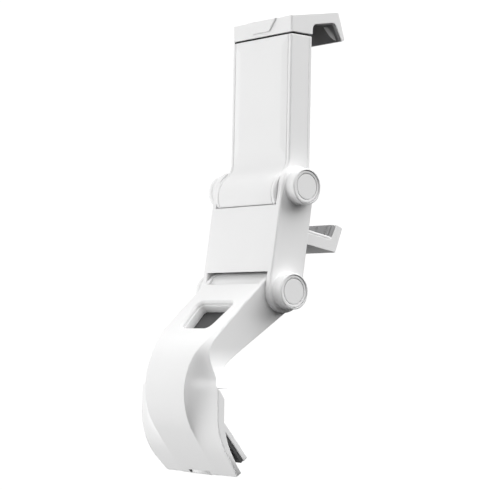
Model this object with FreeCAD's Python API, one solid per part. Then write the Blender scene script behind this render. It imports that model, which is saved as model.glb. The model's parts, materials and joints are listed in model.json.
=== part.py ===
import FreeCAD, Part
import math
import os

# Phone clip for a game controller: a C-shaped bracket grips the controller, a link stands on it between two
# friction hinges, and a clamp with a fixed lower claw and a sprung upper jaw holds the phone.
# Millimetres and degrees. X is the width, -Y the outward front, +Y the phone's side, +Z up.
# The origin is the centre of the rubber seat face that the controller bears on.
# Slopes are given below the horizontal. A profile lies in the YZ plane and is extruded along X.

V = FreeCAD.Vector

# Hinges
LOWER_HINGE_Y = 25.97
LOWER_HINGE_Z = 38.83
HINGE_PITCH = 34.93
LINK_LEAN = 7.9
PIN_R = 2.0
PIN_CLEARANCE = 0.05
BUSH_R = 3.0
BUSH_LENGTH = 6.0
HEAD_R = 3.4
HEAD_T = 2.0
NUT_FLATS = 6.2
NUT_T = 2.0
PIN_END = 0.1
FIT_GAP = 0.05

# Bracket arm
ARM_HALF = 15.4
ARM_SLOPE = 42.5
ARM_BACK_SLOPE = 34.0
ARM_KNUCKLE_R = 7.1
BARREL_R = 6.1
BARREL_HALF = ARM_HALF - 2.0
BARREL_STEP = 4.2
FRONT_Y = -9.3
BEND_R = 22.0
HOOK_R = 5.0
HOOK_Y = 1.6

# Bracket skirt
CHIN_R = 22.8
CHIN_TURN = 34.5
SKIRT_R = 120.0
SKIRT_TURN = 9.0
SKIRT_FLARE = 4.7
SKIRT_HALF = ARM_HALF + SKIRT_FLARE
CREST_TOP_Z = 20.0
CREST_R = 21.0
CORNER_R = 16.0
CORNER_Z = -13.5
EDGE_LAND = 0.25

# Flanks of the bracket: height, half width of the front face, and hollow of the flank.
# A hollow of 0.5 is a plain chamfer; towards 1 the flank runs straight back and then out to the side.
FRONT_HALF = ARM_HALF - 3.9
FLANK_SHAPE = (
    (50.0, FRONT_HALF + 3.75, 0.50),
    (34.0, FRONT_HALF + 3.30, 0.50),
    (27.0, FRONT_HALF + 2.55, 0.50),
    (22.0, FRONT_HALF + 1.10, 0.60),
    (18.0, FRONT_HALF - 0.20, 0.75),
    (14.0, FRONT_HALF - 0.60, 0.85),
    (8.0, FRONT_HALF - 0.95, 0.90),
    (-1.0, FRONT_HALF - 1.30, 0.90),
    (-8.0, FRONT_HALF - 1.90, 0.82),
    (-16.0, FRONT_HALF - 2.60, 0.65),
    (-25.0, FRONT_HALF - 3.50, 0.60),
)

# Depth of the arm's side edge behind its front, by height, down to the liner's top
CREST_DEPTH = (
    (50.0, 0.15),
    (34.0, 0.25),
    (27.0, 0.40),
    (22.0, 1.00),
    (18.0, 2.60),
    (14.0, 5.20),
    (10.0, 6.80),
)
FLANK_TOP = 50.0
FLANK_LOW = -25.0
FLANK_STEPS = 30

# Cable-side window in the arm, as a trapezoid on the arm's front plane
WINDOW_START = 13.1
WINDOW_END = 25.8
WINDOW_TOP_HALF = FRONT_HALF - 1.9
WINDOW_END_HALF = FRONT_HALF - 4.0
WINDOW_CORNER = 2.2
WINDOW_RIM = 4.4
WINDOW_BEVEL = 0.7

# Liner, tongue and pads
GROOVE_Y = -3.0
GROOVE_DROP = 7.46
GROOVE_EXTRA_TURN = 4.5
SHELL_NARROWING = 0.8
SHELL_LIP_T = 0.4
LINER_TOP_Z = 7.2
LINER_TOP_Y = -2.6
SEAT_TOP_Z = 4.0
SEAT_PROUD = 0.4
LINER_GROWTH = 2.5
LINER_EXTRA_TURN = 10.0
TONGUE_SLOPE = 49.4
TONGUE_T = 1.8
TONGUE_LENGTH = 15.1
TONGUE_ROOT_Z = -3.2
TONGUE_PAD_T = 1.1
TONGUE_PAD_START = 3.4
TONGUE_PAD_MARGIN = 0.3
TONGUE_PAD_END = 0.3
SEAT_PAD_HALF = ARM_HALF - 0.4
SEAT_PAD_HEIGHT = 5.2
SEAT_PAD_T = 1.2
HOOK_PAD_T = 1.6
HOOK_PAD_PROUD = 0.5
HOOK_PAD_HALF = ARM_HALF - 4.4
HOOK_PAD_START = 8.0
HOOK_PAD_LENGTH = 19.0

# Notch at the skirt's lower edge
NOTCH_LEFT = -4.4
NOTCH_RIGHT = 5.5
NOTCH_HEIGHT = 1.4
NOTCH_DEPTH = 0.3
NOTCH_Z = -20.9
POCKET_SIDE = 1.1
POCKET_DEPTH = 1.0

# Link
EAR_GAP = 0.35
EAR_T = 2.25
LINK_HALF = ARM_HALF + EAR_GAP + EAR_T
LINK_R = 7.0
LINK_WALL = 2.0
WEB_TOP = 7.0
WEB_BOTTOM = 29.5
WEB_BEVEL = 1.6
COVER_TOP = 9.5
EAR_ROUND = 0.6
BOSS_R = 5.85
BOSS_ROUND = 0.4
BOSS_OUT = 4.4
CAP_R = 5.3
CAP_GAP = 0.1
CAP_T = 1.6
CAP_SUNK = 0.65
CAP_DISC_R = 4.3
CAP_DISC_RISE = 0.4
CAP_BEVEL = 0.15
EAR_FLOOR = 1.85
COUNTERBORE_R = 3.8
LINK_SCREW_X = LINK_HALF - 6.0
LINK_SCREW_TOP = 13.0
LINK_SCREW_LOW = 25.0
LINK_SCREW_GRIP = 3.5
POST_R = 2.2
WASHER_R = 5.5

# Clamp
CLAMP_HALF = ARM_HALF
CLAMP_FRONT = -2.1
CLAMP_TOP = 51.45
BACK_PLATE_T = 1.2
BACK_Y = 7.0
COVER_T = 1.6
COVER_HALF = CLAMP_HALF - 1.65
COVER_GAP = 0.12
DIP_R = 6.0
BULGE_R = 8.3
BULGE_Y = -0.15
BULGE_Z = -2.2
LIP_Z = -5.87
CLAMP_KNUCKLE_R = 7.2
CAVITY_HALF = CLAMP_HALF - 4.4
CAVITY_FRONT = 0.3
CAVITY_FLOOR = 11.0
GUIDE_T = 5.0
KEEPER_GAP = 0.1
FACET = 0.25
FACET_HALF = COVER_HALF - 2.95
EDGE_BEVEL = 0.35
BACK_PAD_HALF = CLAMP_HALF - 4.4
BACK_PAD_LOW = 3.0
BACK_PAD_TOP = CLAMP_TOP - 4.45
PAD_T = 1.2
PAD_PROUD = 0.5
CLAMP_SCREW_X = CLAMP_HALF - 2.2
CLAMP_SCREW_LOW = 8.5
CLAMP_SCREW_TOP = CLAMP_TOP - 2.55
CLAMP_SCREW_GRIP = 4.0

# Claw, measured from the upper hinge
CLAW_FLOOR_Z = -14.55
CLAW_CORNER = (17.2, -16.35)
CLAW_LIP = (19.85, -11.0)
CLAW_TIP = (22.4, -12.1)
CLAW_HEEL = (19.3, -20.7)
CLAW_ROOT_Z = -18.65
CLAW_ROUND = 2.0
CLAW_TIP_ROUND = 0.7
CLAW_HEEL_ROUND = 0.5
CLAW_PAD_HALF = CLAMP_HALF - 1.1
CLAW_PAD_T = 1.2
CLAW_PAD_PROUD = 0.5
CLAW_PAD_TOP = 0.5
CLAW_PAD_LOW = 1.5
CLAW_RIB_R = 0.3

# Jaw, measured from the upper hinge
JAW_GAP = 0.65
JAW_TRAVEL = 18.0
JAW_TOP_FRONT_Z = CLAMP_TOP + 6.1
JAW_TOP_REAR = (18.8, CLAMP_TOP + 9.92)
JAW_HEEL = (22.03, CLAMP_TOP + 0.8)
JAW_LIP = (20.65, CLAMP_TOP - 0.03)
JAW_CEILING_REAR = (17.3, CLAMP_TOP + 5.95)
JAW_CEILING_FRONT = (7.5, CLAMP_TOP + 4.1)
JAW_WALL_Y = 7.4
JAW_INNER_R = 1.8
TRIM_TOP_HALF = 7.7
TRIM_LOW_HALF = 4.3
TRIM_LOW_Z = CLAMP_TOP + 1.95
TRIM_PROUD = 0.6
JAW_OUTER_ROUND = 0.5
JAW_PAD_HALF = CLAMP_HALF - 0.5
JAW_PAD_T = 1.0
JAW_PAD_PROUD = 0.5
JAW_PAD_Y = 9.3
JAW_PAD_LOW = 0.5
ROD_R = 1.5
ROD_X = 8.5
ROD_Y = 3.0
ROD_TOP_Z = CLAMP_TOP + 4.95
ROD_SCREW_GRIP = 3.5
CROSSHEAD_Z = 25.0
CROSSHEAD_T = 3.0
CROSSHEAD_GAP = 0.2
PEG_R = 1.2
PEG_LENGTH = 3.0
SPRING_X = 4.0
SPRING_R = 1.9
SPRING_WIRE_R = 0.3
SPRING_TURNS = 9

# Screws
SCREW_R = 0.8
SCREW_HEAD_R = 1.5
SCREW_HEAD_T = 1.1
PILOT_EXTRA = 0.5


def unit(angle):
    """Unit vector in the YZ plane at an angle in degrees from +Y towards +Z."""
    a = math.radians(angle)
    return V(0, math.cos(a), math.sin(a))


class Path:
    """A chain of lines and tangent arcs in the YZ plane."""

    def __init__(self, y, z, heading):
        self.start = V(0, y, z)
        self.start_heading = heading
        self.point = self.start
        self.heading = heading
        self.edges = []

    def line(self, length):
        end = self.point + unit(self.heading) * length
        self.edges.append(Part.makeLine(self.point, end))
        self.point = end
        return self

    def arc(self, radius, turn):
        side = 90.0 if turn > 0 else -90.0
        centre = self.point + unit(self.heading + side) * radius
        middle = centre + unit(self.heading - side + turn / 2.0) * radius
        end = centre + unit(self.heading - side + turn) * radius
        self.edges.append(Part.Arc(self.point, middle, end).toShape())
        self.point = end
        self.heading += turn
        return self

    def to(self, y, z):
        end = V(0, y, z)
        self.edges.append(Part.makeLine(self.point, end))
        self.heading = math.degrees(math.atan2(z - self.point.z, y - self.point.y)) % 360.0
        self.point = end
        return self

    def y_at(self, z):
        """Y at a height; the path carries on straight beyond its ends."""
        if z >= self.start.z:
            return self.start.y + (z - self.start.z) / math.tan(math.radians(self.start_heading))
        if z <= self.point.z:
            return self.point.y + (z - self.point.z) / math.tan(math.radians(self.heading))
        level = Part.makeLine(V(0, -60, z), V(0, 60, z))
        return Part.Wire(self.edges).distToShape(level)[1][0][0].y


def face_from(edges):
    """Flat face bounded by edges given in any order."""
    return Part.Face(Part.Wire(Part.sortEdges(edges)[0]))


def slab(face, low, high):
    """Extrude a YZ face along X from low to high."""
    moved = face.copy()
    moved.translate(V(low, 0, 0))
    return moved.extrude(V(high - low, 0, 0))


def polygon(points):
    """Closed YZ face through (y, z) points."""
    corners = [V(0, y, z) for y, z in points]
    return Part.Face(Part.makePolygon(corners + [corners[0]]))


def block(x0, x1, y0, y1, z0, z1):
    """Box between two corners."""
    return Part.makeBox(x1 - x0, y1 - y0, z1 - z0, V(x0, y0, z0))


def rod_x(radius, x0, x1, y=0.0, z=0.0):
    """Cylinder along X."""
    return Part.makeCylinder(radius, x1 - x0, V(x0, y, z), V(1, 0, 0))


def rod_y(radius, x, z, y0, y1):
    """Cylinder along Y."""
    return Part.makeCylinder(radius, y1 - y0, V(x, y0, z), V(0, 1, 0))


def rod_z(radius, x, y, z0, z1):
    """Cylinder along Z."""
    return Part.makeCylinder(radius, z1 - z0, V(x, y, z0), V(0, 0, 1))


def mirrored(shape):
    """Copy on the other side of the YZ plane."""
    return shape.mirror(V(0, 0, 0), V(1, 0, 0))


def group(solids):
    """Fuse-like pieces kept as separate solids in one node."""
    return Part.makeCompound(solids)


def edges_where(shape, test):
    """Edges whose both ends and middle pass a test."""
    found = []
    for edge in shape.Edges:
        middle = edge.valueAt((edge.FirstParameter + edge.LastParameter) / 2.0)
        if all(test(v.Point) for v in edge.Vertexes) and test(middle):
            found.append(edge)
    return found


# Places of the hinges
LOWER_HINGE = V(0, LOWER_HINGE_Y, LOWER_HINGE_Z)
UPPER_HINGE = LOWER_HINGE + unit(90.0 - LINK_LEAN) * HINGE_PITCH
EAR_INNER = LINK_HALF - EAR_T
BOSS_FACE = LINK_HALF + BOSS_OUT
CAP_SEAT = BOSS_FACE - CAP_T
EAR_SEAT = EAR_INNER + EAR_FLOOR

# Directions of the bracket's arm
ARM_DOWN = unit(180.0 + ARM_SLOPE)
ARM_OUT = unit(90.0 + ARM_SLOPE)
BACK_DOWN = unit(180.0 + ARM_BACK_SLOPE)
BACK_OUT = unit(ARM_BACK_SLOPE - 90.0)
ARM_START = LOWER_HINGE + ARM_OUT * ARM_KNUCKLE_R
BACK_START = LOWER_HINGE + BACK_OUT * ARM_KNUCKLE_R

# Where the arm's front bends into the chin, and the joint line behind the chin
BEND_DEPTH = BEND_R * (1.0 - math.sin(math.radians(ARM_SLOPE)))
ARM_LENGTH = (ARM_START.y - FRONT_Y - BEND_DEPTH) / math.cos(math.radians(ARM_SLOPE))
BEND_HEIGHT = BEND_R * math.cos(math.radians(ARM_SLOPE))
CHIN_TOP_Z = ARM_START.z - ARM_LENGTH * math.sin(math.radians(ARM_SLOPE)) - BEND_HEIGHT
GROOVE_Z = CHIN_TOP_Z - GROOVE_DROP
GROOVE_R = CHIN_R - SHELL_NARROWING


def front_path():
    """Front outline of the bracket: arm and bend, then chin and skirt."""
    path = Path(ARM_START.y, ARM_START.z, 180.0 + ARM_SLOPE)
    path.line(ARM_LENGTH).arc(BEND_R, 90.0 - ARM_SLOPE)
    return path.arc(CHIN_R, CHIN_TURN).arc(SKIRT_R, SKIRT_TURN)


def groove_path():
    """Joint line between the shell and the liner; it follows the chin and ends just inside the skirt."""
    path = Path(GROOVE_Y, LINER_TOP_Z, 270.0)
    path.line(LINER_TOP_Z - GROOVE_Z).arc(GROOVE_R, CHIN_TURN + GROOVE_EXTRA_TURN)
    end = FRONT.point + unit(FRONT.heading + 90.0) * SHELL_LIP_T
    return path.to(end.y, end.z)


def arm_back_path():
    """Back of the arm, from the knuckle into the hook of the C."""
    drop = HOOK_R * (1.0 - math.sin(math.radians(ARM_BACK_SLOPE)))
    length = (BACK_START.y - HOOK_Y - drop) / math.cos(math.radians(ARM_BACK_SLOPE))
    path = Path(BACK_START.y, BACK_START.z, 180.0 + ARM_BACK_SLOPE)
    path.line(length).arc(HOOK_R, 90.0 - ARM_BACK_SLOPE)
    return path.to(HOOK_Y, LINER_TOP_Z)


FRONT = front_path()
GROOVE = groove_path()
ARM_BACK = arm_back_path()


def blend(rows, z):
    """Values of (height, value, ...) rows at a height, run smoothly through the rows."""
    i = 0
    while i < len(rows) - 2 and rows[i + 1][0] > z:
        i += 1
    span = rows[i + 1][0] - rows[i][0]
    t = (z - rows[i][0]) / span

    def slope(j, k):
        before = rows[max(j - 1, 0)]
        after = rows[min(j + 1, len(rows) - 1)]
        return (after[k] - before[k]) / (after[0] - before[0]) * span

    values = []
    for k in range(1, len(rows[0])):
        value = (1 + 2 * t) * (1 - t) ** 2 * rows[i][k] + t * t * (3 - 2 * t) * rows[i + 1][k]
        values.append(value + t * (1 - t) ** 2 * slope(i, k) - t * t * (1 - t) * slope(i + 1, k))
    return values


def outline_half(z):
    """Half width of the bracket at a height, seen from the front."""
    if z >= CREST_TOP_Z:
        return ARM_HALF
    if z < CORNER_Z:
        return SKIRT_HALF - CORNER_R + math.sqrt(CORNER_R ** 2 - (CORNER_Z - z) ** 2)
    drop = min(CREST_TOP_Z - z, CREST_R)
    return min(SKIRT_HALF, ARM_HALF + CREST_R - math.sqrt(CREST_R ** 2 - drop ** 2))


def bracket_outline():
    """Front-view outline of the bracket, extruded through it along Y."""
    rise = SKIRT_HALF - ARM_HALF
    crest_low = CREST_TOP_Z - math.sqrt(CREST_R ** 2 - (CREST_R - rise) ** 2)
    crest_mid_z = (CREST_TOP_Z + crest_low) / 2.0
    low = FRONT.point.z - 2.0
    corner_mid = (CORNER_Z + low) / 2.0
    top = LOWER_HINGE_Z + ARM_KNUCKLE_R + 5.0
    right = [
        Part.makeLine(V(ARM_HALF, 0, top), V(ARM_HALF, 0, CREST_TOP_Z)),
        Part.Arc(
            V(ARM_HALF, 0, CREST_TOP_Z),
            V(outline_half(crest_mid_z), 0, crest_mid_z),
            V(SKIRT_HALF, 0, crest_low),
        ).toShape(),
        Part.makeLine(V(SKIRT_HALF, 0, crest_low), V(SKIRT_HALF, 0, CORNER_Z)),
        Part.Arc(
            V(SKIRT_HALF, 0, CORNER_Z),
            V(outline_half(corner_mid), 0, corner_mid),
            V(outline_half(low), 0, low),
        ).toShape(),
    ]
    left = [mirrored(edge) for edge in right]
    ends = [
        Part.makeLine(V(outline_half(low), 0, low), V(-outline_half(low), 0, low)),
        Part.makeLine(V(ARM_HALF, 0, top), V(-ARM_HALF, 0, top)),
    ]
    face = face_from(right + left + ends)
    face.translate(V(0, -40, 0))
    return face.extrude(V(0, 100, 0))


def side_rows():
    """Depth of the side edge behind the front, by height: the arm's crest, then the liner's groove."""
    rows = list(CREST_DEPTH)
    for z in (LINER_TOP_Z, 4.0, 0.0, -4.0, -8.0, -12.0, -16.0, -20.0, FLANK_LOW):
        rows.append((z, GROOVE.y_at(z) - EDGE_LAND - FRONT.y_at(z)))
    return rows


def flank_row(z, depth):
    """Points across the right flank at one height, running on past both of its edges."""
    half, hollow = blend(FLANK_SHAPE, z)
    width = outline_half(z) - half
    front = FRONT.y_at(z)
    points = []
    for t in (-0.35, -0.12, 0.1, 0.3, 0.5, 0.7, 0.9, 1.1, 1.3):
        pull = 2 * t * (1 - t)
        x = half + width * (pull * (1 - hollow) + t * t)
        points.append(V(x, front + depth * (pull * hollow + t * t), z))
    return points


def side_cutter():
    """Solid outside the right flank: one smooth surface swept forwards and outwards."""
    depths = side_rows()
    heights = [FLANK_TOP + (FLANK_LOW - FLANK_TOP) * i / FLANK_STEPS for i in range(FLANK_STEPS + 1)]
    surface = Part.BSplineSurface()
    surface.interpolate([flank_row(z, blend(depths, z)[0]) for z in heights])
    return surface.toShape().extrude(V(20, -20, 0))


def arm_face(points, level):
    """Face square to the arm's front: points are (x, distance along the arm)."""
    corners = [LOWER_HINGE + V(x, 0, 0) + ARM_DOWN * u + ARM_OUT * level for x, u in points]
    return Part.Face(Part.makePolygon(corners + [corners[0]]))


def window_face(level, grow):
    """The window's rounded trapezoid at a distance from the hinge across the arm, grown all round."""
    points = [
        (-WINDOW_TOP_HALF, WINDOW_START),
        (WINDOW_TOP_HALF, WINDOW_START),
        (WINDOW_END_HALF, WINDOW_END),
        (-WINDOW_END_HALF, WINDOW_END),
    ]
    shrunk = arm_face(points, level).makeOffset2D(-WINDOW_CORNER)
    return shrunk.makeOffset2D(WINDOW_CORNER + grow)


def window_prism(low, high):
    """The window's plain hole between two distances from the hinge across the arm."""
    return window_face(low, 0.0).extrude(ARM_OUT * (high - low))


def window_bevel():
    """Cutter for the bevel round the window's front edge."""
    extra = 0.3
    inner = window_face(ARM_KNUCKLE_R - WINDOW_BEVEL, 0.0)
    outer = window_face(ARM_KNUCKLE_R + extra, WINDOW_BEVEL + extra)
    return Part.makeLoft([inner.OuterWire, outer.OuterWire], True, True)


def hook_pad_plate(extra):
    """Flat part of the pad under the arm, with extra thickness outwards for cutting."""
    start = BACK_START + BACK_DOWN * HOOK_PAD_START - BACK_OUT * (HOOK_PAD_T - HOOK_PAD_PROUD)
    end = start + BACK_DOWN * HOOK_PAD_LENGTH
    reach = BACK_OUT * (HOOK_PAD_T + extra)
    corners = [start, end, end + reach, start + reach]
    return slab(polygon([(p.y, p.z) for p in corners]), -HOOK_PAD_HALF, HOOK_PAD_HALF)


def knuckle_bore(reach, y, z):
    """Bore of a hinge knuckle with a pocket for a bush at each end."""
    bore = rod_x(PIN_R + 2 * PIN_CLEARANCE, -reach - 1.0, reach + 1.0, y, z)
    for x0, x1 in ((reach - BUSH_LENGTH, reach + 1.0), (-reach - 1.0, BUSH_LENGTH - reach)):
        bore = bore.fuse(rod_x(BUSH_R, x0, x1, y, z))
    return bore


def bushes(reach, y, z):
    """Two plain bushes, flush inside the knuckle's ends."""
    pieces = []
    for x0 in (reach - BUSH_LENGTH, FIT_GAP - reach):
        outer = rod_x(BUSH_R, x0, x0 + BUSH_LENGTH - FIT_GAP, y, z)
        pieces.append(outer.cut(rod_x(PIN_R + PIN_CLEARANCE, x0 - 1.0, x0 + BUSH_LENGTH + 1.0, y, z)))
    return group(pieces)


def screw_y(x, z, seat, direction, length):
    """Screw along Y: its head stands outside the seat face and the shank goes in."""
    axis = V(0, direction, 0)
    head = Part.makeCylinder(SCREW_HEAD_R, SCREW_HEAD_T, V(x, seat, z), axis * -1)
    rim = [e for e in head.Edges if e.BoundBox.YLength < 0.01 and abs(e.BoundBox.YMin - seat) > 0.5]
    head = head.makeChamfer(0.3, rim)
    slot = block(-SCREW_HEAD_R, SCREW_HEAD_R, -0.5, 0.5, -0.2, 0.2)
    slot.translate(V(x, seat - direction * SCREW_HEAD_T, z))
    return head.fuse(Part.makeCylinder(SCREW_R, length, V(x, seat, z), axis)).cut(slot)


LINER_SCREW_X = 8.0
LINER_SCREW_LENGTH = 4.5
LINER_SCREW_SEAT = -SEAT_PAD_T - SCREW_HEAD_T - 0.1


def liner_screws():
    """Two screws under the seat pad that hold the liner to the shell."""
    return [screw_y(x, 0, LINER_SCREW_SEAT, -1, LINER_SCREW_LENGTH) for x in (-LINER_SCREW_X, LINER_SCREW_X)]


def bracket_shell():
    """Arm and skirt in one moulding."""
    knuckle_mid = (90.0 + ARM_SLOPE + ARM_BACK_SLOPE - 90.0) / 2.0
    knuckle = Part.Arc(BACK_START, LOWER_HINGE + unit(knuckle_mid) * ARM_KNUCKLE_R, ARM_START).toShape()
    edges = FRONT.edges + GROOVE.edges + ARM_BACK.edges + [knuckle]
    edges.append(Part.makeLine(FRONT.point, GROOVE.point))
    edges.append(Part.makeLine(ARM_BACK.point, V(0, GROOVE_Y, LINER_TOP_Z)))
    reach = SKIRT_HALF + 2.0
    core = slab(face_from(edges), -reach, reach)
    shell = core.common(bracket_outline())
    flank = side_cutter()
    shell = shell.cut(flank).cut(mirrored(flank))
    corners = [
        (-BARREL_HALF, -ARM_KNUCKLE_R - 2.0),
        (BARREL_HALF, -ARM_KNUCKLE_R - 2.0),
        (BARREL_HALF, BARREL_STEP),
        (-BARREL_HALF, BARREL_STEP),
    ]
    pocket = arm_face(corners, -3.0).extrude(ARM_OUT * (ARM_KNUCKLE_R + 5.0))
    pocket = pocket.cut(rod_x(BARREL_R, -reach, reach, LOWER_HINGE_Y, LOWER_HINGE_Z))
    shell = shell.cut(pocket)
    shell = shell.cut(window_prism(-ARM_KNUCKLE_R * 2.0, ARM_KNUCKLE_R + 3.0)).cut(window_bevel())
    shell = shell.cut(hook_pad_plate(3.0))
    shell = shell.cut(knuckle_bore(ARM_HALF, LOWER_HINGE_Y, LOWER_HINGE_Z))
    for screw_x in (-LINER_SCREW_X, LINER_SCREW_X):
        tip = LINER_SCREW_SEAT - LINER_SCREW_LENGTH
        shell = shell.cut(rod_y(SCREW_R, screw_x, 0, tip, 0))
    return shell.cut(skirt_notch()), core


def skirt_notch():
    """Shallow notch and small square pocket at the skirt's lower edge."""
    y = FRONT.y_at(NOTCH_Z)
    notch = block(NOTCH_LEFT, NOTCH_RIGHT, -4.0, NOTCH_DEPTH, -NOTCH_HEIGHT / 2.0, NOTCH_HEIGHT / 2.0)
    half = POCKET_SIDE / 2.0
    x = NOTCH_LEFT - half
    pocket = block(x - half, x + half, -4.0, POCKET_DEPTH, -half, half)
    cutter = notch.fuse(pocket)
    cutter.rotate(V(0, 0, 0), V(1, 0, 0), CHIN_TURN + SKIRT_TURN)
    cutter.translate(V(0, y, NOTCH_Z + NOTCH_HEIGHT / 2.0))
    return cutter


TONGUE_DOWN = unit(-TONGUE_SLOPE)
TONGUE_IN = unit(-TONGUE_SLOPE - 90.0)
TONGUE_ROOT = V(0, -SEAT_PROUD, TONGUE_ROOT_Z)


def tongue_strip(start, end, near, far):
    """YZ strip beside the tongue's outer line, between two lengths and two depths."""
    corners = [
        TONGUE_ROOT + TONGUE_DOWN * start + TONGUE_IN * near,
        TONGUE_ROOT + TONGUE_DOWN * end + TONGUE_IN * near,
        TONGUE_ROOT + TONGUE_DOWN * end + TONGUE_IN * far,
        TONGUE_ROOT + TONGUE_DOWN * start + TONGUE_IN * far,
    ]
    return polygon([(p.y, p.z) for p in corners])


def bracket_liner():
    """Inner half of the C with its seat and the springy tongue."""
    inner = Path(GROOVE_Y, LINER_TOP_Z, 0.0)
    inner.to(LINER_TOP_Y, LINER_TOP_Z).to(-SEAT_PROUD, SEAT_TOP_Z).to(-SEAT_PROUD, GROOVE_Z)
    inner.heading = 270.0
    inner.arc(GROOVE_R + LINER_GROWTH, CHIN_TURN + GROOVE_EXTRA_TURN + LINER_EXTRA_TURN)
    inner.to(GROOVE.point.y, GROOVE.point.z)
    reach = SKIRT_HALF + 2.0
    body = slab(face_from(inner.edges + GROOVE.edges), -reach, reach)
    tongue = slab(tongue_strip(-1.0, TONGUE_LENGTH, 0.0, TONGUE_T), -reach, reach)
    root_trim = block(-reach - 1, reach + 1, -SEAT_PROUD, 5.0, TONGUE_ROOT_Z, SEAT_TOP_Z)
    liner = body.fuse(tongue.cut(root_trim)).common(bracket_outline())
    liner = liner.removeSplitter()
    liner = liner.cut(seat_pad())
    for screw_x in (-LINER_SCREW_X, LINER_SCREW_X):
        liner = liner.cut(rod_y(SCREW_HEAD_R + FIT_GAP, screw_x, 0, LINER_SCREW_SEAT, 0))
        liner = liner.cut(rod_y(SCREW_R, screw_x, 0, GROOVE_Y - 1.0, 0))
    return liner


def seat_pad():
    """Rubber strip let into the liner; its face is at y = 0."""
    half = SEAT_PAD_HEIGHT / 2.0
    return block(-SEAT_PAD_HALF, SEAT_PAD_HALF, -SEAT_PAD_T, 0.0, -half, half)


def tongue_pad():
    """Rubber on the tongue's inner side, thinning out where the tongue meets the liner."""
    half = SKIRT_HALF - TONGUE_PAD_MARGIN
    end = TONGUE_LENGTH - TONGUE_PAD_END
    strip = tongue_strip(TONGUE_PAD_START, end, TONGUE_T, TONGUE_T + TONGUE_PAD_T)
    return slab(strip, -half, half).common(bracket_outline()).cut(bracket_liner())


def hook_pad(core):
    """Rubber block under the arm; its raised middle shows through the window."""
    middle = window_prism(-ARM_KNUCKLE_R * 2.0, ARM_KNUCKLE_R - WINDOW_RIM).common(core)
    return hook_pad_plate(0.0).fuse(middle).removeSplitter()


def stadium(radius):
    """Outline of an ear: two half circles about the hinges and straight sides."""
    path = Path(-radius, 0, 270.0)
    path.line(HINGE_PITCH).arc(radius, 180.0).line(HINGE_PITCH).arc(radius, 180.0)
    return face_from(path.edges)


def link_web():
    """Front wall of the link, bevelled inside where the knuckles turn."""
    inner = LINK_WALL - LINK_R
    face = polygon(
        [
            (-LINK_R, -WEB_TOP),
            (inner, -WEB_TOP - WEB_BEVEL),
            (inner, -WEB_BOTTOM + WEB_BEVEL / 2.0),
            (-LINK_R, -WEB_BOTTOM),
        ]
    )
    return slab(face, -EAR_INNER, EAR_INNER)


def link_screw_places():
    """Places of the back cover's screws."""
    return [(x, -z) for x in (-LINK_SCREW_X, LINK_SCREW_X) for z in (LINK_SCREW_TOP, LINK_SCREW_LOW)]


def link_shell():
    """Front wall, ears and hinge bosses in one moulding."""
    shell = link_web()
    cover_inside = LINK_R - LINK_WALL
    for side in (-1, 1):
        ear = slab(stadium(LINK_R), EAR_INNER, LINK_HALF)
        rim = edges_where(ear, lambda p: abs(p.x - LINK_HALF) < 0.01)
        ear = ear.makeFillet(EAR_ROUND, rim)
        for hinge_z in (0.0, -HINGE_PITCH):
            boss = rod_x(BOSS_R, LINK_HALF - 0.5, BOSS_FACE, 0, hinge_z)
            outer = edges_where(boss, lambda p: abs(p.x - BOSS_FACE) < 0.01)
            boss = boss.makeFillet(BOSS_ROUND, outer)
            ear = ear.fuse(boss)
            ear = ear.cut(rod_x(CAP_R + CAP_GAP, CAP_SEAT, BOSS_FACE + 1.0, 0, hinge_z))
            ear = ear.cut(rod_x(COUNTERBORE_R, EAR_SEAT, CAP_SEAT + 1.0, 0, hinge_z))
            ear = ear.cut(rod_x(PIN_R + FIT_GAP / 2.0, EAR_INNER - 1.0, EAR_SEAT + 1.0, 0, hinge_z))
        shell = shell.fuse(ear if side > 0 else mirrored(ear))
    for x, z in link_screw_places():
        shell = shell.fuse(rod_y(POST_R, x, z, LINK_WALL - LINK_R - 0.5, cover_inside))
        depth = LINK_SCREW_GRIP + PILOT_EXTRA
        shell = shell.cut(rod_y(SCREW_R, x, z, cover_inside - depth, cover_inside + 1.0))
    return shell.removeSplitter()


def link_back_cover():
    """Rear wall of the link, between the ears."""
    half = EAR_INNER - FIT_GAP
    inside = LINK_R - LINK_WALL
    cover = block(-half, half, inside, LINK_R, -WEB_BOTTOM, -COVER_TOP)
    corners = [e for e in cover.Edges if e.BoundBox.YLength > LINK_WALL - 0.01 and e.BoundBox.XLength < 0.01]
    cover = cover.makeFillet(0.8, corners)
    for x, z in link_screw_places():
        cover = cover.cut(rod_y(SCREW_R, x, z, inside - 1.0, LINK_R + 1.0))
        cover = cover.cut(rod_y(SCREW_HEAD_R + FIT_GAP, x, z, LINK_R - SCREW_HEAD_T, LINK_R + 1.0))
    return cover


def link_screws():
    """Four screws that hold the back cover."""
    seat = LINK_R - SCREW_HEAD_T
    length = LINK_WALL - SCREW_HEAD_T + LINK_SCREW_GRIP
    return group([screw_y(x, z, seat, -1, length) for x, z in link_screw_places()])


def hinge_pin(z):
    """Pin with a flat head on the right and a plain end for the nut."""
    shank = rod_x(PIN_R, -EAR_SEAT - NUT_T - PIN_END, EAR_SEAT, 0, z)
    head = rod_x(HEAD_R, EAR_SEAT, EAR_SEAT + HEAD_T, 0, z)
    rim = edges_where(head, lambda p: abs(p.x - EAR_SEAT - HEAD_T) < 0.01)
    slot = block(EAR_SEAT + HEAD_T - 0.7, EAR_SEAT + HEAD_T + 1, -HEAD_R, HEAD_R, z - 0.4, z + 0.4)
    return shank.fuse(head.makeChamfer(0.4, rim)).cut(slot)


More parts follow.
